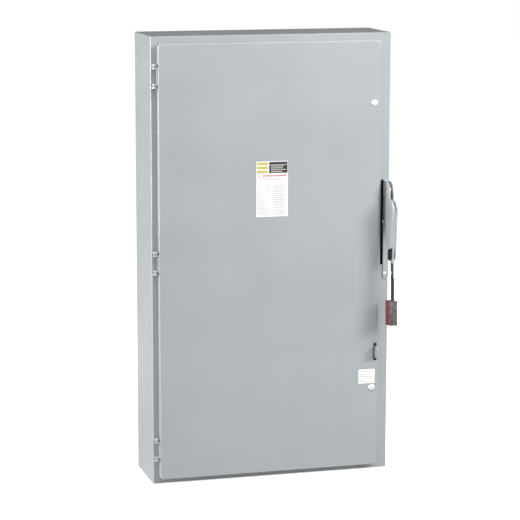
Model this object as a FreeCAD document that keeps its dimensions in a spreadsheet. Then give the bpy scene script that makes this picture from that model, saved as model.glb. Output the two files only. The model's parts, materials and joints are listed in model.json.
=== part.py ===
import FreeCAD, Part
import os
import re
import Sketcher

# Wall-mounted heavy-duty safety switch (AC disconnect box).
# Frame: +Z up, front faces -Y, +X to the right. The origin is the centre of the back face,
# in the plane of the wall. All sizes are millimetres.

DIMENSIONS = {
    # enclosure
    "body_width": 702, "body_height": 1276, "body_depth": 200, "sheet": 2,
    "bend": 3, "right_flange": 43, "left_flange": 24, "end_flange": 40,
    "wall_hole_span": 508, "wall_hole_rise": 1168, "wall_hole_radius": 5.5,
    # door
    "door_left": -333.5, "door_right": 315, "door_low": -623.5, "door_high": 617.5,
    "door_depth": 18, "door_gap": 1, "door_corner": 9,
    # labels
    "rating_left": -51.7, "rating_right": 41, "rating_low": 124.6, "rating_high": 282.5,
    "notice_left": 257, "notice_right": 307, "notice_low": -378, "notice_high": -336,
    "label_thick": 0.5, "label_corner": 1,
    # door screws
    "screw_x": 297.5, "top_screw_z": 440, "low_screw_z": -391, "screw_head_radius": 9.5,
    "screw_dome": 6, "screw_rim": 1.5, "screw_shank_radius": 3.5, "screw_reach": 28, "bracket_thick": 2.5,
    # hinges
    "hinge_x": -342, "hinge_y": -210, "hinge_tall": 66, "hinge_nose": 8, "hinge_lug": 4.5,
    "hinge_collar": 4.3, "hinge_pin_radius": 2.5, "leaf": 2, "run_gap": 0.05,
    # padlock tongue
    "tongue_left": 305.5, "tongue_right": 308, "tongue_tip": -244, "tongue_z": -285, "tongue_half": 17,
    "padlock_radius": 5,
    # flange slot beside the handle
    "slot_left": 325.4, "slot_right": 333.6, "slot_low": -32, "slot_high": 215.5,
    # handle; each "out" is a distance in front of the flange
    "plate_thick": 2.5, "plate_low": -72, "plate_high": 220, "low_rivet_z": -57, "side_rivet_z": 93,
    "hood_left": 334, "hood_right": 351, "hood_wall": 2, "hood_edge": 3.5, "hood_corner": 22,
    "hood_rear_z": 101, "hood_back_z": 172, "hood_top_out": 82.5, "hood_top_z": 158,
    "hood_low_out": 73.5, "hood_low_z": 27.5, "cheek_out": 37, "cheek_z": 16,
    "ear_out": 50, "ear_low": 92, "ear_high": 213, "ear_corner": 32,
    "lock_out": 24, "lock_z": 190, "lock_radius": 4.5,
    "guide_in": 38, "guide_out": 69, "guide_low": -12, "guide_high": 58,
    "pivot_out": 42, "pivot_z": 126, "pivot_radius": 6, "hub_radius": 38,
    "lever_left": 338.5, "lever_right": 344.5, "tip_out": 70, "tip_z": -17, "tip_wide": 14,
    "lap_z": -62, "bar_out": 77, "bar_z": -192, "bar_wide": 12,
    "rivet_out": 65, "rivet_z": -46, "rivet_radius": 2.5,
    "grip_side": 8, "grip_deep": 42, "grip_face_thick": 2.6,
    "grip_top_out": 77.4, "grip_top_z": -126.4, "grip_low_out": 81, "grip_low_z": -198,
    "crank_radius": 24, "crank_angle": 7.5, "crank_pin_radius": 4,
    "link_left": 344.75, "link_right": 346.75, "link_half": 8,
    # mechanism
    "frame_left": 320, "frame_right": 323, "frame_low": 40, "frame_high": 210,
    "shaft_y": -75, "shaft_radius": 10, "rocker_radius": 51.5, "rocker_angle": 27.5, "rocker_thick": 2.5,
    # switch
    "first_pole": -150, "pole_pitch": 130, "blade_length": 140, "open_angle": 55,
    "blade_thick": 4, "blade_wide": 28, "contact_thick": 9.6, "carrier_radius": 20, "carrier_half": 22,
    "base_back": -24, "base_front": -44, "base_left": -225, "base_right": 185, "base_screw_radius": 3.2,
    "line_base_low": -40, "line_base_high": 402, "load_base_low": -402, "load_base_high": -225,
    "strip_half": 16, "strip_thick": 5, "chute_half": 27, "chute_wall": 4, "chute_front": -128,
    "chute_low": 212, "chute_high": 296, "clip_front": -104, "clip_tall": 50,
    "lug_bore_radius": 13, "lug_half": 20, "lug_tall": 54, "lug_front": -96, "lug_z": 363, "cable_y": -71,
    "lug_screw_radius": 6, "shield_y": -146, "shield_thick": 3, "shield_low": 312, "shield_high": 415,
    "ground_x": 285, "ground_z": -480, "ground_half": 15, "ground_tall": 40, "ground_front": -34,
    "ground_bore_radius": 7, "ground_screw_radius": 4,
}

doc = FreeCAD.newDocument("ac_disconnect_box")
sheet = doc.addObject("Spreadsheet::Sheet", "dims")
for row, (alias, number) in enumerate(DIMENSIONS.items(), start=1):
    sheet.set("A%d" % row, alias)
    sheet.set("B%d" % row, str(number))
    sheet.setAlias("B%d" % row, alias)
doc.recompute()

pieces = []
X_AXIS = FreeCAD.Vector(1, 0, 0)
Y_AXIS = FreeCAD.Vector(0, 1, 0)
ALONG = {
    "z": FreeCAD.Rotation(),
    "x": FreeCAD.Rotation(Y_AXIS, 90),
    "y": FreeCAD.Rotation(X_AXIS, -90),
}
POLES = range(3)


def bound(text):
    """Turn a formula of dimension names into a spreadsheet expression."""
    return re.sub(r"[a-z_]+", lambda word: ("dims." if word.group() in DIMENSIONS else "") + word.group(),
                  str(text))


def value(text):
    """The number that a formula of dimension names stands for now."""
    return float(sheet.evalExpression(bound(text)))


def keep(label, shape_object):
    """Register a finished sub-part under the name of its node."""
    shape_object.Label = label
    pieces.append(shape_object)
    return shape_object


def place(item, x=0, y=0, z=0):
    for axis, formula in zip("xyz", (x, y, z)):
        item.setExpression("Placement.Base." + axis, bound(formula))
    return item


# ---- Part primitives -------------------------------------------------------------------------

def block(x0, x1, y0, y1, z0, z1):
    item = doc.addObject("Part::Box", "block")
    for side, low, high in (("Length", x0, x1), ("Width", y0, y1), ("Height", z0, z1)):
        item.setExpression(side, bound("(%s) - (%s)" % (high, low)))
    return place(item, x0, y0, z0)


def rod(axis, radius, length, x, y, z):
    """A cylinder from (x, y, z) along +axis."""
    item = doc.addObject("Part::Cylinder", "rod")
    item.Placement = FreeCAD.Placement(FreeCAD.Vector(), ALONG[axis])
    item.setExpression("Radius", bound(radius))
    item.setExpression("Height", bound(length))
    return place(item, x, y, z)


def fuse(*items):
    item = doc.addObject("Part::MultiFuse", "fuse")
    item.Shapes = list(items)
    item.Refine = True
    return item


def cut(base, *tools):
    item = doc.addObject("Part::Cut", "cut")
    item.Base = base
    item.Tool = tools[0] if len(tools) == 1 else fuse(*tools)
    return item


def group(label, items):
    """Separate solids that share one node."""
    item = doc.addObject("Part::Compound", "group")
    item.Links = list(items)
    return keep(label, item)


# ---- PartDesign helpers ----------------------------------------------------------------------

def new_body(label):
    return keep(label, doc.addObject("PartDesign::Body", label))


def sketch_on(body, plane, offset):
    """An empty sketch on one of the body's own origin planes, moved along the plane's normal."""
    sketch = body.newObject("Sketcher::SketchObject", "outline")
    support = [item for item in body.Origin.OriginFeatures if item.Role == plane + "_Plane"][0]
    sketch.AttachmentSupport = [(support, "")]
    sketch.MapMode = "FlatFace"
    sketch.setExpression("AttachmentOffset.Base.z", bound(offset))
    return sketch


def polygon(body, plane, offset, corners):
    """A closed outline whose every corner is tied to the spreadsheet."""
    sketch = sketch_on(body, plane, offset)
    spots = [FreeCAD.Vector(value(x), value(y), 0) for x, y in corners]
    count = len(spots)
    for index in range(count):
        sketch.addGeometry(Part.LineSegment(spots[index], spots[(index + 1) % count]))
    for index in range(count):
        sketch.addConstraint(Sketcher.Constraint("Coincident", index, 2, (index + 1) % count, 1))
    for index, corner in enumerate(corners):
        for kind, formula in zip(("DistanceX", "DistanceY"), corner):
            tie = Sketcher.Constraint(kind, -1, 1, index, 1, value(formula))
            sketch.setExpression("Constraints[%d]" % sketch.addConstraint(tie), bound(formula))
    return sketch


def circles(body, plane, offset, radius, centres):
    sketch = sketch_on(body, plane, offset)
    for index, centre in enumerate(centres):
        spot = FreeCAD.Vector(value(centre[0]), value(centre[1]), 0)
        sketch.addGeometry(Part.Circle(spot, FreeCAD.Vector(0, 0, 1), value(radius)))
        tie = sketch.addConstraint(Sketcher.Constraint("Radius", index, value(radius)))
        sketch.setExpression("Constraints[%d]" % tie, bound(radius))
        for kind, formula in zip(("DistanceX", "DistanceY"), centre):
            tie = Sketcher.Constraint(kind, -1, 1, index, 3, value(formula))
            sketch.setExpression("Constraints[%d]" % sketch.addConstraint(tie), bound(formula))
    return sketch


def extrude(body, kind, sketch, length, backwards=False):
    """A Pad along the sketch's normal, or a Pocket against it, unless backwards."""
    feature = body.newObject("PartDesign::" + kind, kind.lower())
    feature.Profile = sketch
    feature.setExpression("Length", bound(length))
    feature.Reversed = backwards
    sketch.Visibility = False
    return feature


def pad(body, sketch, length):
    return extrude(body, "Pad", sketch, length)


def pocket(body, sketch, length, backwards=False):
    doc.recompute()
    before = body.Shape.Volume
    feature = extrude(body, "Pocket", sketch, length, backwards)
    doc.recompute()
    if body.Shape.Volume > before - 0.01:
        raise RuntimeError("a pocket cuts nothing in " + body.Label)
    return feature


def round_edges(body, radius, wanted):
    """Fillet the edges of the body's tip whose middle and direction the test accepts."""
    doc.recompute()
    names = []
    base = body.Tip
    for index, edge in enumerate(base.Shape.Edges, start=1):
        middle = edge.valueAt((edge.FirstParameter + edge.LastParameter) / 2)
        start, end = edge.valueAt(edge.FirstParameter), edge.valueAt(edge.LastParameter)
        if wanted(middle, end - start):
            names.append("Edge%d" % index)
    feature = body.newObject("PartDesign::Fillet", "round")
    feature.Base = (base, names)
    feature.setExpression("Radius", bound(radius))
    doc.recompute()
    if not names or "Invalid" in feature.State:
        raise RuntimeError("a fillet of %s fails in %s" % (radius, body.Label))
    return feature


def near(first, second, slack=0.01):
    return abs(first - second) < slack


# Places that several sub-parts share, as formulas of the driving dimensions.
HALF_WIDE = "body_width / 2"
FLANGE = "-body_depth"
DOOR_FACE = "-body_depth - door_gap - door_depth"


def out(protrusion):
    """The Y of a point that stands this far in front of the flange."""
    return "-body_depth - (%s)" % protrusion


PIVOT_Y = out("pivot_out")
CRANK_Y = out("pivot_out + crank_radius * sin(crank_angle * 1deg)")
CRANK_Z = "pivot_z - crank_radius * cos(crank_angle * 1deg)"
ROCKER_Y = "shaft_y - rocker_radius * cos(rocker_angle * 1deg)"
ROCKER_Z = "pivot_z - rocker_radius * sin(rocker_angle * 1deg)"


# ---- enclosure -------------------------------------------------------------------------------

def enclosure_body():
    """Back, sides and front flanges bent from one sheet."""
    body = new_body("enclosure_body")
    right, inner = HALF_WIDE, HALF_WIDE + " - sheet"
    profile = [
        (right + " - right_flange", FLANGE), (right, FLANGE), (right, "0"),
        ("-" + right, "0"), ("-" + right, FLANGE), ("-(%s) + left_flange" % right, FLANGE),
        ("-(%s) + left_flange" % right, FLANGE + " + sheet"), ("-(%s)" % inner, FLANGE + " + sheet"),
        ("-(%s)" % inner, "-sheet"), (inner, "-sheet"), (inner, FLANGE + " + sheet"),
        (right + " - right_flange", FLANGE + " + sheet"),
    ]
    pad(body, polygon(body, "XY", "-body_height / 2", profile), "body_height")
    half, depth = value(HALF_WIDE), value("body_depth")
    skin = value("sheet")

    def upright(way):
        return near(way.x, 0) and near(way.y, 0)

    round_edges(body, "bend", lambda at, way: upright(way) and near(abs(at.x), half)
                and (near(at.y, 0) or near(at.y, -depth)))
    round_edges(body, "bend - sheet", lambda at, way: upright(way) and near(abs(at.x), half - skin)
                and (near(at.y, -skin) or near(at.y, skin - depth)))
    corners = [(across + "wall_hole_span / 2", up + "wall_hole_rise / 2")
               for across in ("-", "") for up in ("-", "")]
    pocket(body, circles(body, "XZ", "0", "wall_hole_radius", corners), "sheet * 2", backwards=True)
    slot = [("slot_left", "slot_low"), ("slot_right", "slot_low"),
            ("slot_right", "slot_high"), ("slot_left", "slot_high")]
    pocket(body, polygon(body, "XZ", "body_depth + 1", slot), "sheet + 2")
    pocket(body, link_opening(body, "body_depth + 1"), "sheet + 2")


def link_opening(body, offset):
    """Opening hidden behind the hood, where the drive link passes through."""
    low, high = "pivot_z - 36", "pivot_z + 36"
    return polygon(body, "XZ", offset, [("link_left - 1.25", low), ("link_right + 1.25", low),
                                        ("link_right + 1.25", high), ("link_left - 1.25", high)])


def end_wall(label, side):
    """Top (side 1) or bottom (side -1) wall, with a front flange butting against the side flanges."""
    body = new_body(label)
    edge, inner = "%d * body_height / 2" % side, "%d * (body_height / 2 - sheet)" % side
    width = HALF_WIDE + " - sheet"
    plate = [(FLANGE + " + sheet", inner), ("-sheet", inner), ("-sheet", edge), (FLANGE + " + sheet", edge)]
    pad(body, polygon(body, "YZ", "-(%s)" % width, plate), "2 * (%s)" % width)
    low = "%d * (body_height / 2 - end_flange)" % side
    front = [(FLANGE, low), (FLANGE + " + sheet", low), (FLANGE + " + sheet", edge), (FLANGE, edge)]
    pad(body, polygon(body, "YZ", "left_flange - body_width / 2", front),
        "body_width - left_flange - right_flange")
    height, depth = value(edge), value("body_depth")
    round_edges(body, "sheet * 0.9", lambda at, way: near(way.y, 0) and near(way.z, 0)
                and near(at.z, height) and near(at.y, -depth))
    reach = value(width)
    round_edges(body, "bend - sheet", lambda at, way: near(way.x, 0) and near(way.y, 0)
                and near(abs(at.x), reach))


# ---- hinges ----------------------------------------------------------------------------------

HINGES = ("528.5", "3.5", "-535.5")
ENDS = (1, -1)


def lug_foot(z, end, inset):
    """Lower face of a hinge lug whose outer face lies this far inside one end of the hinge."""
    outer = "%s + %d * (hinge_tall / 2 - (%s))" % (z, end, inset)
    return outer + " - hinge_lug" if end > 0 else outer


def hinge_frame_leaf(z):
    """Web welded to the left flange, with a round-nosed lug at each end."""
    left, right = "hinge_x - hinge_nose", "hinge_x + hinge_nose"
    low = "%s - hinge_tall / 2" % z
    solids = [block(left, right, FLANGE + " - leaf", FLANGE, low, low + " + hinge_tall")]
    for end in ENDS:
        foot = lug_foot(z, end, "0")
        solids.append(rod("z", "hinge_nose", "hinge_lug", "hinge_x", "hinge_y", foot))
        solids.append(block(left, right, "hinge_y", FLANGE + " - leaf / 2", foot, foot + " + hinge_lug"))
    bore = rod("z", "hinge_pin_radius", "hinge_tall + 2", "hinge_x", "hinge_y", low + " - 1")
    return cut(fuse(*solids), bore)


def hinge_door_leaf(z):
    """Web along the door's side, with a lug a collar's height inside each frame lug."""
    inset = "hinge_lug + hinge_collar"
    nose = "(hinge_nose - 1)"
    low, high = [z + sign + "(hinge_tall / 2 - hinge_lug - hinge_collar)" for sign in (" - ", " + ")]
    back, front = "hinge_y + " + nose, "hinge_y - " + nose
    solids = [block("door_left - leaf", "door_left", front, back, low, high)]
    for end in ENDS:
        foot = lug_foot(z, end, inset)
        solids.append(rod("z", nose, "hinge_lug", "hinge_x", "hinge_y", foot))
        solids.append(block("hinge_x", "door_left - leaf / 2", front, back, foot, foot + " + hinge_lug"))
    foot = z + " - hinge_tall / 2"
    bore = rod("z", "hinge_pin_radius + run_gap", "hinge_tall", "hinge_x", "hinge_y", foot)
    return cut(fuse(*solids), bore)


def hinge_pin(z, end):
    """Stub pin through one pair of lugs, headed outside and with a collar that spaces the lugs."""
    tip = "%s + %d * hinge_tall / 2" % (z, end)
    stack, head = "(2 * hinge_lug + hinge_collar)", "1.6"
    if end > 0:
        shank_foot, cap_foot = tip + " - " + stack, tip
        collar_foot = tip + " - hinge_lug - hinge_collar + run_gap"
    else:
        shank_foot, cap_foot, collar_foot = tip, tip + " - " + head, tip + " + hinge_lug + run_gap"
    wide = "hinge_pin_radius + 1.5"
    return fuse(rod("z", "hinge_pin_radius", stack, "hinge_x", "hinge_y", shank_foot),
                rod("z", wide, head, "hinge_x", "hinge_y", cap_foot),
                rod("z", wide, "hinge_collar - 2 * run_gap", "hinge_x", "hinge_y", collar_foot))


# ---- door ------------------------------------------------------------------------------------

DOOR_FRONT = "body_depth + door_gap + door_depth"


def door_panel():
    """Flat sheet with returned edges, drilled for two screws and slotted for the tongue."""
    body = new_body("door_panel")
    outline = [("door_left", "door_low"), ("door_right", "door_low"),
               ("door_right", "door_high"), ("door_left", "door_high")]
    inset = [("door_left + sheet", "door_low + sheet"), ("door_right - sheet", "door_low + sheet"),
             ("door_right - sheet", "door_high - sheet"), ("door_left + sheet", "door_high - sheet")]
    pad(body, polygon(body, "XZ", "body_depth + door_gap", outline), "door_depth")
    round_edges(body, "door_corner", lambda at, way: near(way.x, 0) and near(way.z, 0))
    front, straight = value(DOOR_FACE), value("body_width") / 2
    round_edges(body, "bend", lambda at, way: near(at.y, front) and abs(way.x) > straight)
    pocket(body, polygon(body, "XZ", "body_depth + door_gap", inset), "door_depth - sheet", backwards=True)
    centres = [("screw_x", "top_screw_z"), ("screw_x", "low_screw_z")]
    pocket(body, circles(body, "XZ", DOOR_FRONT + " + 1", "screw_shank_radius + 0.5", centres), "sheet + 2")
    left, right = "tongue_left - 3.5", "tongue_right + 4"
    low, high = "tongue_z - tongue_half - 9", "tongue_z + tongue_half + 9"
    slot = [(left, low), (right, low), (right, high), (left, high)]
    pocket(body, polygon(body, "XZ", DOOR_FRONT + " + 1", slot), "sheet + 2")


def label_plate(name):
    """Thin sheet with rounded corners on the face of the door."""
    body = new_body(name + "_label")
    left, right, low, high = [name + side for side in ("_left", "_right", "_low", "_high")]
    outline = [(left, low), (right, low), (right, high), (left, high)]
    pad(body, polygon(body, "XZ", DOOR_FRONT, outline), "label_thick")
    round_edges(body, "label_corner", lambda at, way: near(way.x, 0) and near(way.z, 0))


def door_screw(label, height):
    """Domed screw with a dimpled head and a plain shank, turned about the Y axis."""
    body = new_body(label)
    profile = [("0", "screw_reach"), ("screw_shank_radius - 1", "screw_reach"),
               ("screw_shank_radius", "screw_reach - 2"), ("screw_shank_radius", "0"),
               ("screw_head_radius", "0"), ("screw_head_radius", "-screw_rim"),
               ("0.82 * screw_head_radius", "-0.62 * screw_dome"),
               ("0.5 * screw_head_radius", "-0.9 * screw_dome"),
               ("0.25 * screw_head_radius", "-screw_dome"),
               ("0.17 * screw_head_radius", "2 - screw_dome"), ("0", "2.4 - screw_dome")]
    turned = body.newObject("PartDesign::Revolution", "turned")
    turned.Profile = polygon(body, "XY", "0", profile)
    turned.ReferenceAxis = (turned.Profile[0], ["V_Axis"])
    turned.Angle = 360
    place(body, "screw_x", DOOR_FACE + " - run_gap", height)
    return body


def screw_retainer(label, height):
    """Washer behind the door that keeps its screw captive."""
    ring = rod("y", "screw_shank_radius + 4", "1.2", "screw_x", DOOR_FACE + " + sheet + 0.3", height)
    bore = rod("y", "screw_shank_radius", "4", "screw_x", DOOR_FACE + " + sheet - 1", height)
    return keep(label, cut(ring, bore))


def screw_bracket(height):
    """Plate behind the right flange that carries the clip nut of one door screw."""
    back = FLANGE + " + sheet"
    plate = block("screw_x - 15", HALF_WIDE + " - 18", back, back + " + bracket_thick",
                  height + " - 22", height + " + 22")
    return cut(plate, rod("y", "screw_shank_radius + 2", "6", "screw_x", FLANGE, height))


def clip_nut(height):
    ring = rod("y", "screw_shank_radius + 5.5", "6", "screw_x", FLANGE + " + sheet + bracket_thick", height)
    return cut(ring, rod("y", "screw_shank_radius + 0.9", "10", "screw_x", FLANGE, height))


def padlock_tongue():
    """Tab from the right flange that stands through the door to take a padlock."""
    body = new_body("padlock_tongue")
    outer, inner = FLANGE + " + sheet", FLANGE + " + sheet + tongue_right - tongue_left"
    low, high = "tongue_z - tongue_half", "tongue_z + tongue_half"
    blade = [(inner, low), (inner, high), ("tongue_tip", high), ("tongue_tip", low)]
    pad(body, polygon(body, "YZ", "tongue_left", blade), "tongue_right - tongue_left")
    tip = value("tongue_tip")
    round_edges(body, "tongue_half - 3", lambda at, way: near(at.y, tip) and abs(way.x) > 1)
    foot = [(inner, low), (inner, high), (outer, high), (outer, low)]
    pad(body, polygon(body, "YZ", "tongue_right", foot), "26")
    hole = circles(body, "YZ", "tongue_left - 1", "padlock_radius", [("tongue_tip + 12", "tongue_z")])
    pocket(body, hole, "6", backwards=True)


# ---- handle ----------------------------------------------------------------------------------

LEVER_THICK = "(lever_right - lever_left)"
HOOD_INSIDE = "(hood_right - hood_left - 2 * hood_wall)"
PLATE_RIVETS = [("(lever_left + lever_right) / 2 - 3", "low_rivet_z", "4.6"),
                ("hood_left - 0.8", "side_rivet_z", "2.6")]


def corner_at(protrusion, height):
    """A sketch corner this far in front of the flange, at this height."""
    return out(protrusion), height


def handle_base_plate():
    """Strip on the right flange, with a small ear over the slot for its side rivet."""
    body = new_body("handle_base_plate")
    left, right = "hood_left", "hood_right - 0.5"
    outline = [(left, "plate_low"), (right, "plate_low"), (right, "plate_high"), (left, "plate_high")]
    pad(body, polygon(body, "XZ", "body_depth", outline), "plate_thick")
    round_edges(body, "5", lambda at, way: near(way.x, 0) and near(way.z, 0))
    low, high = "side_rivet_z - 5", "side_rivet_z + 5"
    ear = [(left + " - 3.5", low), (left + " + 3", low), (left + " + 3", high), (left + " - 3.5", high)]
    pad(body, polygon(body, "XZ", "body_depth", ear), "plate_thick")
    pocket(body, link_opening(body, "body_depth + plate_thick + 1"), "plate_thick + 2")
    for x, z, head in PLATE_RIVETS:
        hole = circles(body, "XZ", "body_depth + plate_thick + 1", "%s / 2" % head, [(x, z)])
        pocket(body, hole, "plate_thick + 2")


def plate_rivet(x, z, head):
    """Rivet head in front of the base plate, with a shank of half its radius through the plate."""
    cap = rod("y", head, "2", x, out("plate_thick + 2"), z)
    return fuse(cap, rod("y", "%s / 2" % head, "plate_thick", x, out("plate_thick"), z))


def lockout_bracket():
    """Two ears joined by a strip; they carry the pivot and take a padlock above the hood."""
    body = new_body("lockout_bracket")
    left, right = "(hood_left + hood_wall)", "(hood_right - hood_wall)"
    ears = [corner_at("plate_thick", "ear_low"), corner_at("plate_thick", "ear_high"),
            corner_at("ear_out", "ear_high"), corner_at("ear_out", "ear_low + 20")]
    pad(body, polygon(body, "YZ", left, ears), "%s - %s" % (right, left))
    front, top = value(out("ear_out")), value("ear_high")
    round_edges(body, "ear_corner", lambda at, way: near(at.y, front) and near(at.z, top) and abs(way.x) > 1)
    inside = "%s - %s - 2 * hood_wall" % (right, left)
    low, ahead = "ear_low - 30", "ear_out + 10"
    for high, behind in (("ear_high + 30", "plate_thick + 2"), ("hood_back_z - 4", "1")):
        gap = [corner_at(behind, low), corner_at(behind, high),
               corner_at(ahead, high), corner_at(ahead, low)]
        pocket(body, polygon(body, "YZ", right + " - hood_wall", gap), inside)
    bearing = circles(body, "YZ", left + " - 1", "pivot_radius", [(PIVOT_Y, "pivot_z")])
    pocket(body, bearing, "hood_wall + 2", backwards=True)
    shackle = circles(body, "YZ", right + " + 1", "lock_radius", [corner_at("lock_out", "lock_z")])
    pocket(body, shackle, "%s - %s + 2" % (right, left))


def handle_hood():
    """Deep narrow hood around the hub: closed cheeks, and a front slit that the lever fills."""
    body = new_body("handle_hood")
    outline = [corner_at("plate_thick", "hood_rear_z"), corner_at("plate_thick", "hood_back_z"),
               corner_at("hood_top_out", "hood_top_z"), corner_at("hood_low_out", "hood_low_z"),
               corner_at("cheek_out", "cheek_z")]
    pad(body, polygon(body, "YZ", "hood_left", outline), "hood_right - hood_left")
    corner = value(out("hood_top_out"))
    round_edges(body, "hood_corner", lambda at, way: near(at.y, corner) and abs(way.x) > 1)
    front, crown, foot = value(out("hood_low_out - 0.5")), value("hood_top_z"), value("hood_low_z")
    round_edges(body, "hood_edge", lambda at, way: abs(way.x) < 0.1
                and ((at.y < front and at.z > foot + 1) or at.z > crown))
    hollow = [corner_at("0", "0"), corner_at("0", "lock_z"), corner_at("ear_out + 0.5", "lock_z"),
              corner_at("ear_out + 0.5", "hood_top_z + 3"), corner_at("ear_out + 10", "hood_top_z + 1.5"),
              corner_at("hood_top_out - 2.3", "hood_top_z - 20"),
              corner_at("hood_low_out - 2", "hood_low_z - 3.5"), corner_at("hood_low_out - 2.5", "0")]
    pocket(body, polygon(body, "YZ", "hood_right - hood_wall", hollow), HOOD_INSIDE)
    slit = [corner_at("9", "0"), corner_at("9", "lock_z"), corner_at("95", "lock_z"), corner_at("95", "0")]
    pocket(body, polygon(body, "YZ", "lever_right + 0.5", slit), LEVER_THICK + " + 1")


def lever_guide(left, right):
    """Black cheek that steadies the lever tongue below the hood."""
    solid = block(left, right, out("guide_out"), out("guide_in"), "guide_low", "guide_high")
    relief = rod("x", "17", "20", "hood_left", out("guide_in"), "guide_high")
    rounding = rod("x", "12", "20", "hood_left", out("guide_out + 3"), "guide_low - 4")
    return cut(solid, relief, rounding)


def lever_plate():
    """Hub disc and tongue in one plate, thinned where it laps the lever bar."""
    body = new_body("lever_plate")
    pad(body, circles(body, "YZ", "lever_left", "hub_radius", [(PIVOT_Y, "pivot_z")]), LEVER_THICK)
    tongue = [corner_at("pivot_out + hub_radius", "pivot_z"), corner_at("hood_low_out - 0.3", "hood_low_z"),
              corner_at("tip_out", "tip_z"), corner_at("tip_out - tip_wide", "tip_z"),
              corner_at("pivot_out + 2", "hood_low_z - 0.5"), corner_at("pivot_out - 16", "pivot_z - 28"),
              corner_at("pivot_out", "pivot_z")]
    pad(body, polygon(body, "YZ", "lever_left", tongue), LEVER_THICK)
    tang = [corner_at("tip_out", "tip_z + 1"), corner_at("tip_out + 2", "lap_z"),
            corner_at("tip_out - 10", "lap_z"), corner_at("tip_out - tip_wide", "tip_z + 1")]
    pad(body, polygon(body, "YZ", "lever_left + %s / 2" % LEVER_THICK, tang), LEVER_THICK + " / 2")
    for radius, spot in (("pivot_radius + run_gap", (PIVOT_Y, "pivot_z")),
                         ("crank_pin_radius", (CRANK_Y, CRANK_Z)),
                         ("rivet_radius", corner_at("rivet_out", "rivet_z"))):
        pocket(body, circles(body, "YZ", "lever_left - 1", radius, [spot]), "20", backwards=True)


def bar_front(z):
    """How far out the front edge of the lever bar stands at this height."""
    return "tip_out + 2 + (bar_out - tip_out - 2) * (lap_z - (%s)) / (lap_z - bar_z)" % z


def lever_bar():
    """Flat steel bar between the tongue and the grip, half as thick where it laps the tongue."""
    body = new_body("lever_bar")
    lap = [corner_at("tip_out", "tip_z - 0.2"), corner_at("tip_out + 2.2", "lap_z - 4"),
           corner_at("tip_out - 9.8", "lap_z - 4"), corner_at("tip_out - tip_wide", "tip_z - 0.2")]
    pad(body, polygon(body, "YZ", "lever_left", lap), LEVER_THICK + " / 2 - 0.1")
    main = [corner_at("tip_out + 2", "lap_z - 0.2"), corner_at("bar_out", "bar_z"),
            corner_at("bar_out - bar_wide", "bar_z"), corner_at("tip_out + 2 - bar_wide", "lap_z - 0.2")]
    pad(body, polygon(body, "YZ", "lever_left", main), LEVER_THICK)
    hole = circles(body, "YZ", "lever_left - 1", "rivet_radius", [corner_at("rivet_out", "rivet_z")])
    pocket(body, hole, "20", backwards=True)


def lever_rivet():
    """Rivet through the lap of tongue and bar, with a flat head on each side."""
    centre = corner_at("rivet_out", "rivet_z")
    shank = rod("x", "rivet_radius", LEVER_THICK + " + 4", "lever_left - 2", *centre)
    heads = [rod("x", "rivet_radius + 2.1", "2", start, *centre)
             for start in ("lever_left - 2", "lever_right")]
    return keep("lever_rivet", fuse(shank, *heads))


def handle_grip():
    """Moulded grip pushed onto the lever bar, open at its top for the bar."""
    body = new_body("handle_grip")
    outline = [corner_at("grip_top_out - grip_deep", "grip_top_z - 4.6"),
               corner_at("grip_top_out", "grip_top_z"), corner_at("grip_low_out", "grip_low_z"),
               corner_at("grip_low_out - grip_deep", "grip_low_z - 6")]
    pad(body, polygon(body, "YZ", "lever_left - grip_side", outline), LEVER_THICK + " + 2 * grip_side")
    back = value(out("grip_top_out - 3"))
    round_edges(body, "3", lambda at, way: at.y > back)
    hole = []
    for height, gap in (("grip_top_z + 6", 1), ("bar_z - 1", 1), ("bar_z - 1", -1), ("grip_top_z + 6", -1)):
        edge = "" if gap > 0 else " - bar_wide"
        hole.append(corner_at("%s%s + %d * 0.3" % (bar_front(height), edge, gap), height))
    pocket(body, polygon(body, "YZ", "lever_right + 0.1", hole), LEVER_THICK + " + 0.2")


def grip_face():
    """Cover plate on the front of the grip, with eased edges."""
    body = new_body("grip_face")
    outline = [corner_at("grip_top_out", "grip_top_z"),
               corner_at("grip_top_out + grip_face_thick", "grip_top_z + 0.3"),
               corner_at("grip_low_out + grip_face_thick", "grip_low_z + 0.4"),
               corner_at("grip_low_out", "grip_low_z")]
    pad(body, polygon(body, "YZ", "lever_left - grip_side", outline), LEVER_THICK + " + 2 * grip_side")
    front = value(out("grip_top_out + grip_face_thick"))
    ends = [value("grip_top_z + 0.3"), value("grip_low_z + 0.4")]
    round_edges(body, "grip_face_thick - 0.8", lambda at, way: (abs(way.z) > 9 and at.y < front)
                or (abs(way.x) > 9 and min(abs(at.z - end) for end in ends) < 0.01))


# ---- drive mechanism -------------------------------------------------------------------------

LINK_THICK = "(link_right - link_left)"
ROCKER_LEFT = "(lever_right - rocker_thick)"


def drive_link():
    """Link with an eye on the crank pin and a lost-motion window around the rocker pin."""
    eye = rod("x", "link_half", LINK_THICK, "link_left", CRANK_Y, CRANK_Z)
    bar = block("link_left", "link_right", CRANK_Y, ROCKER_Y + " - 8",
                CRANK_Z + " - link_half", CRANK_Z + " + link_half")
    frame = block("link_left", "link_right", ROCKER_Y + " - 12", ROCKER_Y + " + 28",
                  ROCKER_Z + " - 15", ROCKER_Z + " + 15")
    window = block("link_left - 1", "link_right + 1", ROCKER_Y + " - 5", ROCKER_Y + " + 21",
                   ROCKER_Z + " - 9", ROCKER_Z + " + 9")
    bore = rod("x", "crank_pin_radius + run_gap", LINK_THICK + " + 4", "link_left - 2", CRANK_Y, CRANK_Z)
    return keep("drive_link", cut(fuse(eye, bar, frame), window, bore))


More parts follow.
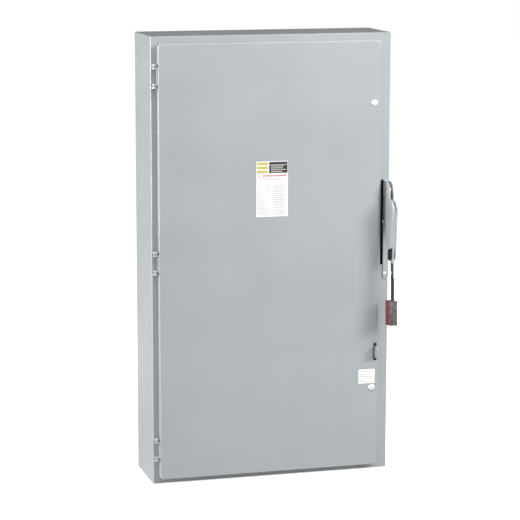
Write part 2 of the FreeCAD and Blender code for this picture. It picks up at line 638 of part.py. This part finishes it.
def mechanism_frame():
    """Steel side plate between the right flange and the back; it carries the crossbar shaft."""
    plate = block("frame_left", "frame_right", FLANGE + " + sheet", "-sheet", "frame_low", "frame_high")
    foot = block("frame_left - 24", "frame_right", "-sheet - 3", "-sheet", "frame_low", "frame_high")
    bore = rod("x", "shaft_radius + run_gap", "8", "frame_left - 2", "shaft_y", "pivot_z")
    window = block("frame_left - 2", "frame_right + 2", FLANGE + " + 20", "shaft_y - 37",
                   "frame_low + 30", "frame_high - 30")
    return keep("mechanism_frame", cut(fuse(plate, foot), bore, window))


def rocker_arm():
    """Flat arm on the end of the crossbar shaft; its pin stands in the window of the link."""
    half = "8"
    hub = rod("x", "shaft_radius + 6", "rocker_thick", ROCKER_LEFT, "shaft_y", "pivot_z")
    tip = rod("x", half, "rocker_thick", ROCKER_LEFT, ROCKER_Y, ROCKER_Z)
    arm = block(ROCKER_LEFT, "lever_right", "-rocker_radius", "0", "-" + half, half)
    arm.Placement = FreeCAD.Placement(FreeCAD.Vector(), FreeCAD.Rotation(X_AXIS, value("rocker_angle")))
    tilt = "(rocker_angle * 1deg)"
    place(arm, ROCKER_LEFT, "%s + %s * sin(%s)" % (ROCKER_Y, half, tilt),
          "%s - %s * cos(%s)" % (ROCKER_Z, half, tilt))
    bore = rod("x", "shaft_radius", "6", ROCKER_LEFT + " - 1.5", "shaft_y", "pivot_z")
    pin_bore = rod("x", "crank_pin_radius", "6", ROCKER_LEFT + " - 1.5", ROCKER_Y, ROCKER_Z)
    return keep("rocker_arm", cut(fuse(hub, tip, arm), bore, pin_bore))


# ---- switch ----------------------------------------------------------------------------------

STRIP_FRONT = "(base_front - strip_thick)"


def pole(index):
    return "(first_pole + %d * pole_pitch)" % index


def knife_blade(x):
    """One blade, drawn closed, with its eye around the insulating carrier."""
    eye = rod("x", "carrier_radius + 9", "blade_thick", x, "0", "0")
    bar = block(x, x + " + blade_thick", "-blade_wide / 2", "blade_wide / 2", "0", "blade_length")
    return cut(fuse(eye, bar), rod("x", "carrier_radius", "blade_thick + 8", x + " - 4", "0", "0"))


def knife_blades():
    """Six blades, two to a pole, tilted open about the crossbar."""
    inner = "contact_thick / 2 + 0.2"
    blades = []
    for index in POLES:
        blades.append(knife_blade("%s - (%s) - blade_thick" % (pole(index), inner)))
        blades.append(knife_blade("%s + %s" % (pole(index), inner)))
    blades = group("knife_blades", blades)
    blades.Placement = FreeCAD.Placement(FreeCAD.Vector(), FreeCAD.Rotation(X_AXIS, value("open_angle")))
    place(blades, 0, "shaft_y", "pivot_z")


def carrier(x):
    """Insulating sleeve between the shaft and one pair of blades."""
    sleeve = rod("x", "carrier_radius", "2 * carrier_half", x + " - carrier_half", "shaft_y", "pivot_z")
    bore = rod("x", "shaft_radius", "2 * carrier_half + 6", x + " - carrier_half - 3", "shaft_y", "pivot_z")
    return cut(sleeve, bore)


def contact_strip(x, low, high):
    """Copper strip on the front of a base."""
    return block(x + " - strip_half", x + " + strip_half", STRIP_FRONT, "base_front", low, high)


def contact_web(x, front, low, high):
    """Upright copper web between the two blades of a pole."""
    return block(x + " - contact_thick / 2", x + " + contact_thick / 2", front, "base_front - 1", low, high)


def hinge_post(x):
    """Fixed contact under the blade pair, with a strip down to the upper fuse clip."""
    eye = rod("x", "carrier_radius + 8", "contact_thick", x + " - contact_thick / 2", "shaft_y", "pivot_z")
    stem = contact_web(x, "shaft_y + 5", "pivot_z - 56", "pivot_z")
    strip = contact_strip(x, "line_base_low + 20", "pivot_z - 36")
    bore = rod("x", "carrier_radius + run_gap", "contact_thick + 8", x + " - contact_thick / 2 - 4",
               "shaft_y", "pivot_z")
    return cut(fuse(eye, stem, strip), bore)


def line_contact(x):
    """Jaw that the blade tips straddle when closed, with a strip up to the line lug."""
    tip = "pivot_z + blade_length"
    jaw = contact_web(x, "shaft_y - 17", tip + " - 38", tip + " - 4")
    return fuse(jaw, contact_strip(x, tip + " - 44", "lug_z + 32"))


def arc_chute(x):
    """Three-sided insulating chute around the tip of one blade pair."""
    shell = block(x + " - chute_half", x + " + chute_half", "chute_front", STRIP_FRONT + " - 0.2",
                  "chute_low", "chute_high")
    inner = "chute_half + chute_wall"
    hollow = block("%s - %s" % (x, inner), "%s + chute_half - chute_wall" % x, "chute_front - 12",
                   "base_front + 4", "chute_low - 7", "chute_high - chute_wall - 1")
    return cut(shell, hollow)


def fuse_clip(x, low):
    """Spring jaw: a foot and two leaves that hold a fuse blade."""
    high = low + " + clip_tall"
    back = block(x + " - 14", x + " + 14", STRIP_FRONT + " - 4", STRIP_FRONT, low, high)
    leaves = [block("%s %s" % (x, start), "%s %s" % (x, end), "clip_front", STRIP_FRONT + " - 2", low, high)
              for start, end in (("- 6.5", "- 3.5"), ("+ 3.5", "+ 6.5"))]
    return fuse(back, *leaves)


def lug(x, side):
    """Aluminium connector with a vertical cable bore and a clamp-screw hole; side -1 faces down."""
    middle = "%d * lug_z" % side
    low = middle + " - lug_tall / 2"
    solid = block(x + " - lug_half", x + " + lug_half", "lug_front", STRIP_FRONT, low, low + " + lug_tall")
    cable = rod("z", "lug_bore_radius", "lug_tall + 20", x, "cable_y", low + " - 10")
    screw_hole = rod("y", "lug_screw_radius", "20", x, "lug_front - 2", middle)
    return cut(solid, cable, screw_hole)


def lug_screw(x, side):
    """Clamp screw with a round socket; its tip stops at the edge of the cable bore."""
    front, middle = "lug_front - 8", "%d * lug_z" % side
    body = rod("y", "lug_screw_radius", "19", x, front, middle)
    return cut(body, rod("y", "lug_screw_radius / 2", "6", x, front, middle))


def base_corners(low, high):
    return [(x, z) for x in ("base_left + 20", "base_right - 20") for z in (low + " + 20", high + " - 20")]


def switch_base(label, low, high):
    """Moulded insulating slab on stand-offs, drilled for its four screws."""
    slab = block("base_left", "base_right", "base_front", "base_back", low, high)
    holes = [rod("y", "base_screw_radius", "30", x, "base_front - 5", z) for x, z in base_corners(low, high)]
    return keep(label, cut(slab, *holes))


BASES = (("line_base", "line_base_low", "line_base_high"), ("load_base", "load_base_low", "load_base_high"))
BASE_SCREWS = [spot for name, low, high in BASES for spot in base_corners(low, high)]


def standoff(x, z):
    sleeve = rod("y", "12", "-sheet - base_back", x, "base_back", z)
    return cut(sleeve, rod("y", "base_screw_radius", "40", x, "base_back - 5", z))


def base_screw(x, z):
    head = rod("y", "base_screw_radius + 3.3", "4", x, "base_front - 4", z)
    return fuse(head, rod("y", "base_screw_radius - 0.1", "-sheet - base_front", x, "base_front", z))


SHIELD_BACK = "shield_y + shield_thick"
SHIELD_POSTS = [(x, z) for x in ("base_left + 10", "base_right - 10")
                for z in ("shield_low + 13", "shield_low + 33")]


def line_shield():
    """Clear guard sheet in front of the line lugs, bent back along its top."""
    body = new_body("line_shield")
    profile = [("shield_y", "shield_low"), (SHIELD_BACK, "shield_low"),
               (SHIELD_BACK, "shield_high - shield_thick"), ("shield_y + 34", "shield_high - shield_thick"),
               ("shield_y + 34", "shield_high"), ("shield_y", "shield_high")]
    pad(body, polygon(body, "YZ", "base_left", profile), "base_right - base_left")


def ground_lug():
    """Small connector on the back for the grounding conductor."""
    low = "ground_z - ground_tall / 2"
    solid = block("ground_x - ground_half", "ground_x + ground_half", "ground_front", "-sheet",
                  low, low + " + ground_tall")
    cable = rod("z", "ground_bore_radius", "ground_tall + 20", "ground_x", "-20", low + " - 10")
    screw_hole = rod("y", "ground_screw_radius", "20", "ground_x", "ground_front - 2", "ground_z")
    return keep("ground_lug", cut(solid, cable, screw_hole))


# ---- the assembly ----------------------------------------------------------------------------

enclosure_body()
end_wall("top_end_wall", 1)
end_wall("bottom_end_wall", -1)
group("hinge_frame_leaves", [hinge_frame_leaf(z) for z in HINGES])
group("hinge_door_leaves", [hinge_door_leaf(z) for z in HINGES])
group("hinge_pins", [hinge_pin(z, end) for z in HINGES for end in ENDS])
door_panel()
label_plate("rating")
label_plate("notice")
door_screw("door_screw_top", "top_screw_z")
door_screw("door_screw_bottom", "low_screw_z")
screw_retainer("screw_retainer_top", "top_screw_z")
screw_retainer("screw_retainer_bottom", "low_screw_z")
group("door_screw_brackets", [screw_bracket(z) for z in ("top_screw_z", "low_screw_z")])
group("door_clip_nuts", [clip_nut(z) for z in ("top_screw_z", "low_screw_z")])
padlock_tongue()

handle_base_plate()
lockout_bracket()
handle_hood()
group("lever_guides", [lever_guide("hood_left + hood_wall", "lever_left - 0.5"),
                       lever_guide("lever_right + 0.5", "hood_right - hood_wall")])
group("base_plate_screws", [plate_rivet(x, z, head) for x, z, head in PLATE_RIVETS])
lever_plate()
lever_bar()
lever_rivet()
handle_grip()
grip_face()
keep("pivot_pin", rod("x", "pivot_radius", "lever_right - hood_left - hood_wall",
                      "hood_left + hood_wall", PIVOT_Y, "pivot_z"))
keep("crank_pin", rod("x", "crank_pin_radius", "link_right - lever_left", "lever_left", CRANK_Y, CRANK_Z))
drive_link()
mechanism_frame()
rocker_arm()
keep("rocker_pin", rod("x", "crank_pin_radius", "link_right - " + ROCKER_LEFT, ROCKER_LEFT,
                       ROCKER_Y, ROCKER_Z))
keep("crossbar_shaft", rod("x", "shaft_radius", "lever_right - (first_pole - 40)", "first_pole - 40",
                           "shaft_y", "pivot_z"))
group("blade_carriers", [carrier(pole(index)) for index in POLES])
knife_blades()
group("hinge_posts", [hinge_post(pole(index)) for index in POLES])
group("line_contacts", [line_contact(pole(index)) for index in POLES])
group("arc_chutes", [arc_chute(pole(index)) for index in POLES])
group("upper_fuse_clips", [fuse_clip(pole(index), "line_base_low + 22") for index in POLES])
group("lower_fuse_clips", [fuse_clip(pole(index), "load_base_high - 65") for index in POLES])
group("load_strips", [contact_strip(pole(index), "-lug_z - 32", "load_base_high - 10") for index in POLES])
group("line_lugs", [lug(pole(index), 1) for index in POLES])
group("load_lugs", [lug(pole(index), -1) for index in POLES])
group("line_lug_screws", [lug_screw(pole(index), 1) for index in POLES])
group("load_lug_screws", [lug_screw(pole(index), -1) for index in POLES])
for name, low, high in BASES:
    switch_base(name, low, high)
group("base_standoffs", [standoff(x, z) for x, z in BASE_SCREWS])
group("base_screws", [base_screw(x, z) for x, z in BASE_SCREWS])
line_shield()
group("shield_posts", [rod("y", "4", "base_front - (%s)" % SHIELD_BACK, x, SHIELD_BACK, z)
                       for x, z in SHIELD_POSTS])
ground_lug()
keep("ground_lug_screw", rod("y", "ground_screw_radius", "12", "ground_x", "ground_front - 5", "ground_z"))

doc.recompute()
for item in doc.Objects:
    if {"Invalid", "Error"} & set(item.State):
        raise RuntimeError("%s failed: %s" % (item.Label, item.State))
os.makedirs("parts", exist_ok=True)
for item in pieces:
    if item.Shape.isNull() or not item.Shape.isValid() or not item.Shape.Solids:
        raise RuntimeError(item.Label + " has no valid shape")
    item.Shape.exportStep(os.path.join("parts", item.Label + ".step"))
print(len(pieces), "sub-parts written")
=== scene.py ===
import json
import math

import bmesh
import bpy
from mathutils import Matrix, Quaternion, Vector


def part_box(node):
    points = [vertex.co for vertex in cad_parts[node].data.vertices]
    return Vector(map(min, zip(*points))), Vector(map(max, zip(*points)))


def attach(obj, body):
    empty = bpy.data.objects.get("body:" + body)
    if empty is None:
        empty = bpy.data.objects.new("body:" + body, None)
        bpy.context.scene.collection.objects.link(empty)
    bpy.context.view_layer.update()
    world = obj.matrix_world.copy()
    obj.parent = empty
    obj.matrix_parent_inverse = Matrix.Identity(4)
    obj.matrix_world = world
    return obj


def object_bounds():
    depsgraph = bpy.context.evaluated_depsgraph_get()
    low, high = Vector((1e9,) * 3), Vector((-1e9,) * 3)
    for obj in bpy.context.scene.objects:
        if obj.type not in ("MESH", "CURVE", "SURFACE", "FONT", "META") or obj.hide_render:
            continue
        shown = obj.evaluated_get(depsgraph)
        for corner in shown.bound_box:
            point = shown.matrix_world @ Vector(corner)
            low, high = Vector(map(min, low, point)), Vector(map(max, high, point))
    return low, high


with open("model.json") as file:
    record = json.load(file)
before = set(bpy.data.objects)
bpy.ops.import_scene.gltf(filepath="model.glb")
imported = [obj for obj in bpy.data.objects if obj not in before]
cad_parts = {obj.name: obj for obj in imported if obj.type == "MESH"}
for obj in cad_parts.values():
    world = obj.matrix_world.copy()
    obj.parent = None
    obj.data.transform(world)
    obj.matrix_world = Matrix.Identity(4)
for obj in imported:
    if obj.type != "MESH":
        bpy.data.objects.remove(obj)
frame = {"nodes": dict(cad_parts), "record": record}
CAD_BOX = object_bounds()
MM = 0.001


# ---- node helpers ----------------------------------------------------------------------------

class Graph:
    """A material's node tree with short calls for the nodes used here."""

    def __init__(self, name):
        self.material = bpy.data.materials.new(name)
        self.material.use_nodes = True
        self.tree = self.material.node_tree
        self.shader = self.tree.nodes["Principled BSDF"]
        self.place = self.tree.nodes.new("ShaderNodeNewGeometry").outputs["Position"]

    def node(self, kind, **settings):
        node = self.tree.nodes.new(kind)
        for key, setting in settings.items():
            setattr(node, key, setting)
        return node

    def link(self, source, target):
        self.tree.links.new(source, target)

    def feed(self, target, source):
        """Set an input from a number, a colour or another node's output."""
        if isinstance(source, bpy.types.NodeSocket):
            self.link(source, target)
        else:
            target.default_value = source

    def noise(self, size, detail=3.0, stretch=(1, 1, 1)):
        """Noise whose main features are about size metres across."""
        mapping = self.node("ShaderNodeMapping")
        mapping.inputs["Scale"].default_value = stretch
        self.link(self.place, mapping.inputs["Vector"])
        noise = self.node("ShaderNodeTexNoise")
        noise.inputs["Scale"].default_value = 1.0 / size
        noise.inputs["Detail"].default_value = detail
        self.link(mapping.outputs["Vector"], noise.inputs["Vector"])
        return noise.outputs["Fac"]

    def spread(self, source, low, high, start=0.3, end=0.7):
        """Map start..end of the source onto low..high."""
        ranged = self.node("ShaderNodeMapRange")
        for key, number in (("From Min", start), ("From Max", end), ("To Min", low), ("To Max", high)):
            ranged.inputs[key].default_value = number
        self.link(source, ranged.inputs["Value"])
        return ranged.outputs["Result"]

    def maths(self, operation, first, second):
        node = self.node("ShaderNodeMath", operation=operation)
        self.feed(node.inputs[0], first)
        self.feed(node.inputs[1], second)
        return node.outputs["Value"]

    def mix(self, share, first, second):
        node = self.node("ShaderNodeMix", data_type="RGBA")
        self.feed(node.inputs["Factor"], share)
        self.feed(node.inputs[6], first)
        self.feed(node.inputs[7], second)
        return node.outputs[2]

    def edges(self, radius):
        """About 0 on flat faces, rising along convex edges within the radius."""
        soft = self.node("ShaderNodeBevel", samples=6)
        soft.inputs["Radius"].default_value = radius
        sharp = self.node("ShaderNodeNewGeometry")
        dot = self.node("ShaderNodeVectorMath", operation="DOT_PRODUCT")
        self.link(soft.outputs["Normal"], dot.inputs[0])
        self.link(sharp.outputs["Normal"], dot.inputs[1])
        return self.maths("SUBTRACT", 1.0, dot.outputs["Value"])

    def bump(self, height, depth, strength=1.0, radius=0.0):
        bump = self.node("ShaderNodeBump")
        bump.inputs["Distance"].default_value = depth
        bump.inputs["Strength"].default_value = strength
        self.link(height, bump.inputs["Height"])
        if radius:
            soft = self.node("ShaderNodeBevel", samples=6)
            soft.inputs["Radius"].default_value = radius
            self.link(soft.outputs["Normal"], bump.inputs["Normal"])
        self.link(bump.outputs["Normal"], self.shader.inputs["Normal"])

    def set(self, **inputs):
        for key, source in inputs.items():
            self.feed(self.shader.inputs[key.replace("_", " ")], source)


def grey(level):
    return (level, level, level, 1.0)


def shade(colour, factor):
    """The colour made darker or lighter, with an alpha of 1."""
    return tuple(min(1.0, channel * factor) for channel in colour) + (1.0,)


# ---- materials -------------------------------------------------------------------------------

def enamel(name, colour, wear=0.45):
    """Baked semi-gloss enamel on sheet steel: orange peel, faint clouding, thin paint along edges."""
    graph = Graph(name)
    cloud = graph.spread(graph.noise(220.0 * MM, 4), 0.0, 1.0)
    base = graph.mix(cloud, shade(colour, 0.955), shade(colour, 1.05))
    grain = graph.spread(graph.noise(4.0 * MM, 2), 0.0, 0.10)
    base = graph.mix(grain, base, shade(colour, 0.85))
    rubbed = graph.maths("MULTIPLY", graph.spread(graph.edges(1.8 * MM), 0.0, wear, 0.02, 0.25),
                         graph.spread(graph.noise(18.0 * MM, 5), 0.0, 1.0, 0.40, 0.68))
    base = graph.mix(rubbed, base, shade(colour, 1.55))
    rough = graph.spread(graph.noise(50.0 * MM, 4), 0.34, 0.44)
    peel = graph.noise(4.2 * MM, 2)
    graph.bump(peel, 0.05 * MM, 0.55, 0.8 * MM)
    graph.set(Base_Color=base, Roughness=rough, Specular_IOR_Level=0.5)
    graph.set(Coat_Weight=0.85, Coat_Roughness=0.12)
    return graph.material


def metal(name, colour, roughness, brushing=(1, 1, 1), tarnish=0.25, share=1.0):
    """Bare or plated metal with fine tool marks, duller patches and bright edges.

    brushing stretches the tool marks; share is how metallic the surface is, lower for a dull plating.
    """
    graph = Graph(name)
    patches = graph.spread(graph.noise(20.0 * MM, 5), 0.0, tarnish)
    base = graph.mix(patches, shade(colour, 1.0), shade(colour, 0.55))
    edge = graph.spread(graph.edges(0.8 * MM), 0.0, 0.6, 0.03, 0.3)
    base = graph.mix(edge, base, shade(colour, 1.3))
    rough = graph.spread(graph.noise(6.0 * MM, 4), roughness * 0.8, roughness * 1.35)
    graph.bump(graph.noise(1.5 * MM, 3, brushing), 0.03 * MM, 0.5, 0.4 * MM)
    graph.set(Base_Color=base, Roughness=rough, Metallic=share)
    return graph.material


def plastic(name, colour, roughness, grain=0.9 * MM, depth=0.06 * MM, wear=0.35, mottle=0.82):
    """Moulded plastic or rubber with a fine grain, darker mottling and paler scuffed edges."""
    graph = Graph(name)
    clouds = graph.spread(graph.noise(12.0 * MM, 5), 0.0, 1.0)
    base = graph.mix(clouds, shade(colour, mottle), shade(colour, 1.12))
    scuff = graph.maths("MULTIPLY", graph.spread(graph.edges(1.2 * MM), 0.0, wear, 0.02, 0.3),
                        graph.spread(graph.noise(5.0 * MM, 4), 0.2, 1.0, 0.35, 0.65))
    scuffed = tuple(0.55 * channel + 0.30 for channel in colour) + (1.0,)
    base = graph.mix(scuff, base, scuffed)
    graph.bump(graph.noise(grain, 3), depth, 0.6, 0.6 * MM)
    rough = graph.spread(graph.noise(8.0 * MM, 3), roughness * 0.85, min(1.0, roughness * 1.15))
    graph.set(Base_Color=base, Roughness=rough, Specular_IOR_Level=0.4)
    return graph.material


def print_film(name, colour):
    """Printed polyester film: faint unevenness of the ink and a slight sheen."""
    graph = Graph(name)
    ink = graph.spread(graph.noise(1.6 * MM, 4), 0.0, 0.35)
    base = graph.mix(ink, shade(colour, 1.0), shade(colour, 0.86))
    graph.bump(graph.noise(12.0 * MM, 2), 0.03 * MM, 0.4)
    graph.set(Base_Color=base, Roughness=graph.spread(graph.noise(10.0 * MM, 3), 0.378, 0.462))
    return graph.material


def clear_sheet(name, colour):
    """Clear polycarbonate with light scratches."""
    graph = Graph(name)
    scratches = graph.noise(1.2 * MM, 5, (1, 1, 0.03))
    graph.bump(scratches, 0.02 * MM, 0.4)
    graph.set(Base_Color=shade(colour, 1.0), Roughness=graph.spread(scratches, 0.06, 0.16))
    graph.set(Transmission_Weight=0.92, IOR=1.58)
    return graph.material


PAINT = enamel("grey_enamel", (0.352, 0.375, 0.388))
HANDLE_PAINT = enamel("handle_enamel", (0.375, 0.405, 0.415), wear=0.6)
ZINC = metal("bright_zinc", (0.88, 0.89, 0.90), 0.34, tarnish=0.10, share=0.35)
GALVANISED = metal("galvanised_sheet", (0.56, 0.58, 0.59), 0.52, tarnish=0.30, share=0.25)
STEEL = metal("plain_steel", (0.56, 0.57, 0.58), 0.34, (1, 1, 0.06))
DARK_STEEL = metal("black_oxide", (0.075, 0.08, 0.083), 0.42, (1, 1, 0.05), tarnish=0.5)
COPPER = metal("copper", (0.78, 0.46, 0.30), 0.30, (1, 1, 0.08))
ALUMINIUM = metal("extruded_aluminium", (0.78, 0.79, 0.80), 0.33, (1, 1, 0.04))
BLACK = plastic("black_nylon", (0.006, 0.006, 0.007), 0.55, wear=0.10)
PHENOLIC = plastic("moulded_base", (0.055, 0.048, 0.045), 0.45)
FIBRE = plastic("arc_fibre", (0.30, 0.22, 0.15), 0.75, grain=0.6 * MM, depth=0.1 * MM)
RED = plastic("red_vinyl", (0.165, 0.030, 0.033), 0.44, grain=1.1 * MM, depth=0.1 * MM)
OLIVE = plastic("textured_plate", (0.134, 0.132, 0.124), 0.46, grain=2.6 * MM, depth=0.6 * MM, mottle=0.50)
WHITE = print_film("label_white", (0.86, 0.86, 0.85))
CLEAR = clear_sheet("clear_polycarbonate", (0.90, 0.94, 0.95))

BY_SLOT = {
    "grey_paint": PAINT, "bright_zinc": ZINC, "zinc_steel": STEEL, "dark_steel": DARK_STEEL,
    "black_nylon": BLACK, "red_grip": RED, "grip_plate": OLIVE, "white_label": WHITE,
    "copper": COPPER, "aluminium": ALUMINIUM, "base_plastic": PHENOLIC, "arc_fibre": FIBRE,
    "clear_sheet": CLEAR,
}
BY_NODE = {
    "handle_hood": HANDLE_PAINT, "lever_plate": HANDLE_PAINT, "handle_base_plate": HANDLE_PAINT,
    "lockout_bracket": GALVANISED,
}


def dress_cad_nodes():
    """Give each CAD node its own material, or else the one of its slot."""
    for row in frame["record"]["subparts"]:
        node = frame["nodes"][row["node"]]
        material = BY_NODE.get(row["node"], BY_SLOT[row["material_slot"]])
        node.data.materials.clear()
        node.data.materials.append(material)
        for face in node.data.polygons:
            face.material_index = 0


# ---- mesh helpers ----------------------------------------------------------------------------

def piece(name, mesh, body, material):
    """Make a flat-shaded object from a bmesh and let it ride on its body."""
    data = bpy.data.meshes.new(name)
    bmesh.ops.recalc_face_normals(mesh, faces=mesh.faces[:])
    mesh.to_mesh(data)
    mesh.free()
    data.materials.append(material)
    for face in data.polygons:
        face.use_smooth = False
    item = bpy.data.objects.new(name, data)
    bpy.context.scene.collection.objects.link(item)
    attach(item, body)


def slab(mesh, low, high):
    """Add a thin box between two corners."""
    for vertex in bmesh.ops.create_cube(mesh, size=1.0)["verts"]:
        vertex.co = Vector(((a + b) / 2 + c * (b - a)) for a, b, c in zip(low, high, vertex.co))


# ---- labels ----------------------------------------------------------------------------------

def printed_patches(name, label, patches, material, proud=0.12 * MM):
    """Thin printed areas on a label, standing proud of it.

    Each patch is (left, top, right, bottom), as shares of the label from its top left corner.
    """
    low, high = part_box(label)
    width, tall = high.x - low.x, high.z - low.z
    mesh = bmesh.new()
    for left, top, right, bottom in patches:
        slab(mesh, (low.x + left * width, low.y - proud, high.z - bottom * tall),
             (low.x + right * width, low.y + 0.1 * MM, high.z - top * tall))
    piece(name, mesh, "door", material)


def text_rows(left, right, top, bottom, count, thick, ragged=0.10):
    """Plain rules in place of small print, each a little shorter or longer than the last."""
    rows = []
    for index in range(count):
        at = top + (bottom - top) * (index + 0.5) / count
        short = ragged * (right - left) * (0.5 + 0.5 * math.sin(index * 2.4))
        rows.append((left, at - thick / 2, right - short, at + thick / 2))
    return rows


def rating_label():
    """Amber bars and a black heading block, a red band, and two columns of plain rules."""
    dark = print_film("label_black", (0.035, 0.035, 0.035))
    amber = print_film("label_amber", (0.52, 0.47, 0.12))
    red = print_film("label_red", (0.66, 0.30, 0.32))
    ink = print_film("label_ink", (0.42, 0.42, 0.42))
    pale = print_film("label_pale_ink", (0.58, 0.56, 0.50))
    printed_patches("label_header", "rating_label",
                    [(0.40, 0.012, 0.985, 0.060), (0.40, 0.066, 0.985, 0.215)], dark)
    printed_patches("label_amber_bars", "rating_label",
                    [(0.02, at, 0.36, at + 0.052) for at in (0.015, 0.088, 0.161)], amber)
    printed_patches("label_header_rules", "rating_label",
                    text_rows(0.46, 0.93, 0.070, 0.205, 4, 0.014, 0.25), pale, 0.2 * MM)
    printed_patches("label_red_band", "rating_label",
                    [(0.07, 0.245, 0.12, 0.285), (0.20, 0.245, 0.95, 0.275)], red)
    printed_patches("label_red_rules", "rating_label", text_rows(0.10, 0.94, 0.295, 0.345, 2, 0.008), red)
    columns = text_rows(0.06, 0.47, 0.42, 0.97, 15, 0.011) + text_rows(0.53, 0.94, 0.42, 0.97, 15, 0.011)
    printed_patches("label_rules", "rating_label", columns, ink)


def notice_label():
    """Five plain rules."""
    ink = print_film("notice_ink", (0.55, 0.54, 0.53))
    printed_patches("notice_rules", "notice_label", text_rows(0.06, 0.95, 0.08, 0.95, 5, 0.05, 0.2), ink)


# ---- stage, light and camera -----------------------------------------------------------------

FLOOR_HALF_SIDE = 30.0
FLOOR_GLOW = 0.55
FLOOR_GAP = 1.0 * MM


def stage_floor():
    """Plain floor just under the box; pale to the camera, darker to the light that it bounces."""
    mesh = bmesh.new()
    bmesh.ops.create_grid(mesh, x_segments=1, y_segments=1, size=FLOOR_HALF_SIDE)
    data = bpy.data.meshes.new("floor")
    mesh.to_mesh(data)
    mesh.free()
    floor = bpy.data.objects.new("floor", data)
    floor.location = (0, 0, CAD_BOX[0].z - FLOOR_GAP)
    bpy.context.scene.collection.objects.link(floor)
    graph = Graph("pale_floor")
    seen = graph.node("ShaderNodeLightPath").outputs["Is Camera Ray"]
    pale = graph.mix(graph.noise(0.8), grey(0.90), grey(0.93))
    glow = graph.maths("MULTIPLY", seen, FLOOR_GLOW)
    graph.set(Base_Color=graph.mix(seen, grey(0.38), pale), Roughness=0.8, Specular_IOR_Level=0.1)
    graph.set(Emission_Color=grey(1.0), Emission_Strength=glow)
    data.materials.append(graph.material)


def world_light(front, behind):
    """Pale surroundings, dimmer behind the box than in front; the camera sees plain white."""
    world = bpy.data.worlds.new("studio")
    bpy.context.scene.world = world
    world.use_nodes = True
    nodes, links = world.node_tree.nodes, world.node_tree.links
    background = nodes["Background"]
    output = nodes["World Output"]
    coordinates = nodes.new("ShaderNodeTexCoord")
    parts = nodes.new("ShaderNodeSeparateXYZ")
    ramp = nodes.new("ShaderNodeMapRange")
    links.new(coordinates.outputs["Generated"], parts.inputs["Vector"])
    links.new(parts.outputs["Y"], ramp.inputs["Value"])
    for key, number in (("From Min", -0.3), ("From Max", 0.9), ("To Min", front), ("To Max", behind)):
        ramp.inputs[key].default_value = number
    background.inputs["Color"].default_value = (0.97, 0.985, 1.0, 1.0)
    links.new(ramp.outputs["Result"], background.inputs["Strength"])
    seen = nodes.new("ShaderNodeBackground")
    seen.inputs["Strength"].default_value = 1.0
    seen.inputs["Color"].default_value = (1, 1, 1, 1)
    path = nodes.new("ShaderNodeLightPath")
    choose = nodes.new("ShaderNodeMixShader")
    links.new(path.outputs["Is Camera Ray"], choose.inputs["Fac"])
    links.new(background.outputs["Background"], choose.inputs[1])
    links.new(seen.outputs["Background"], choose.inputs[2])
    links.new(choose.outputs["Shader"], output.inputs["Surface"])


def soft_box(name, place, target, wide, tall, watts, colour=(1, 1, 1)):
    """Rectangular area light at a place, aimed at a target."""
    light = bpy.data.lights.new(name, "AREA")
    light.shape = "RECTANGLE"
    light.size = wide
    light.size_y = tall
    light.energy = watts
    light.color = colour
    item = bpy.data.objects.new(name, light)
    item.location = place
    item.rotation_mode = "QUATERNION"
    item.rotation_quaternion = (Vector(target) - Vector(place)).to_track_quat("-Z", "Y")
    bpy.context.scene.collection.objects.link(item)


def studio_lights():
    """Key from the right front, a small fill at the top right, a wall on the left and a strip on top."""
    warm = (1.0, 0.995, 0.985)
    soft_box("key", (4.2, -3.6, 2.2), (0.1, -0.2, 0.1), 1.8, 1.8, 200, warm)
    soft_box("top_right", (1.25, -1.5, 1.6), (0.3, -0.2, 0.45), 0.8, 0.8, 26)
    soft_box("left_wall", (-4.8, -0.2, 0.7), (-0.35, -0.1, 0.0), 1.6, 3.2, 350)
    soft_box("top_strip", (-0.2, -2.2, 3.6), (0.0, -0.15, 0.6), 3.4, 0.14, 42)


def camera():
    """Long lens from the left of the door and a little above its middle."""
    azimuth, elevation, roll = math.radians(15.72), math.radians(10.13), math.radians(-0.117)
    level = math.cos(elevation)
    ahead = Vector((math.sin(azimuth) * level, math.cos(azimuth) * level, -math.sin(elevation)))
    lens = bpy.data.cameras.new("camera")
    lens.lens = 146.8
    lens.sensor_width = 36.0
    lens.clip_start = 0.1
    lens.clip_end = 200.0
    item = bpy.data.objects.new("camera", lens)
    item.location = (-1.6459, -5.9230, 1.0600)
    item.rotation_mode = "QUATERNION"
    item.rotation_quaternion = Quaternion(ahead, roll) @ ahead.to_track_quat("-Z", "Y")
    bpy.context.scene.collection.objects.link(item)
    bpy.context.scene.camera = item


dress_cad_nodes()
rating_label()
notice_label()
stage_floor()
world_light(0.70, 0.15)
studio_lights()
camera()
bpy.context.scene.view_settings.view_transform = "Standard"
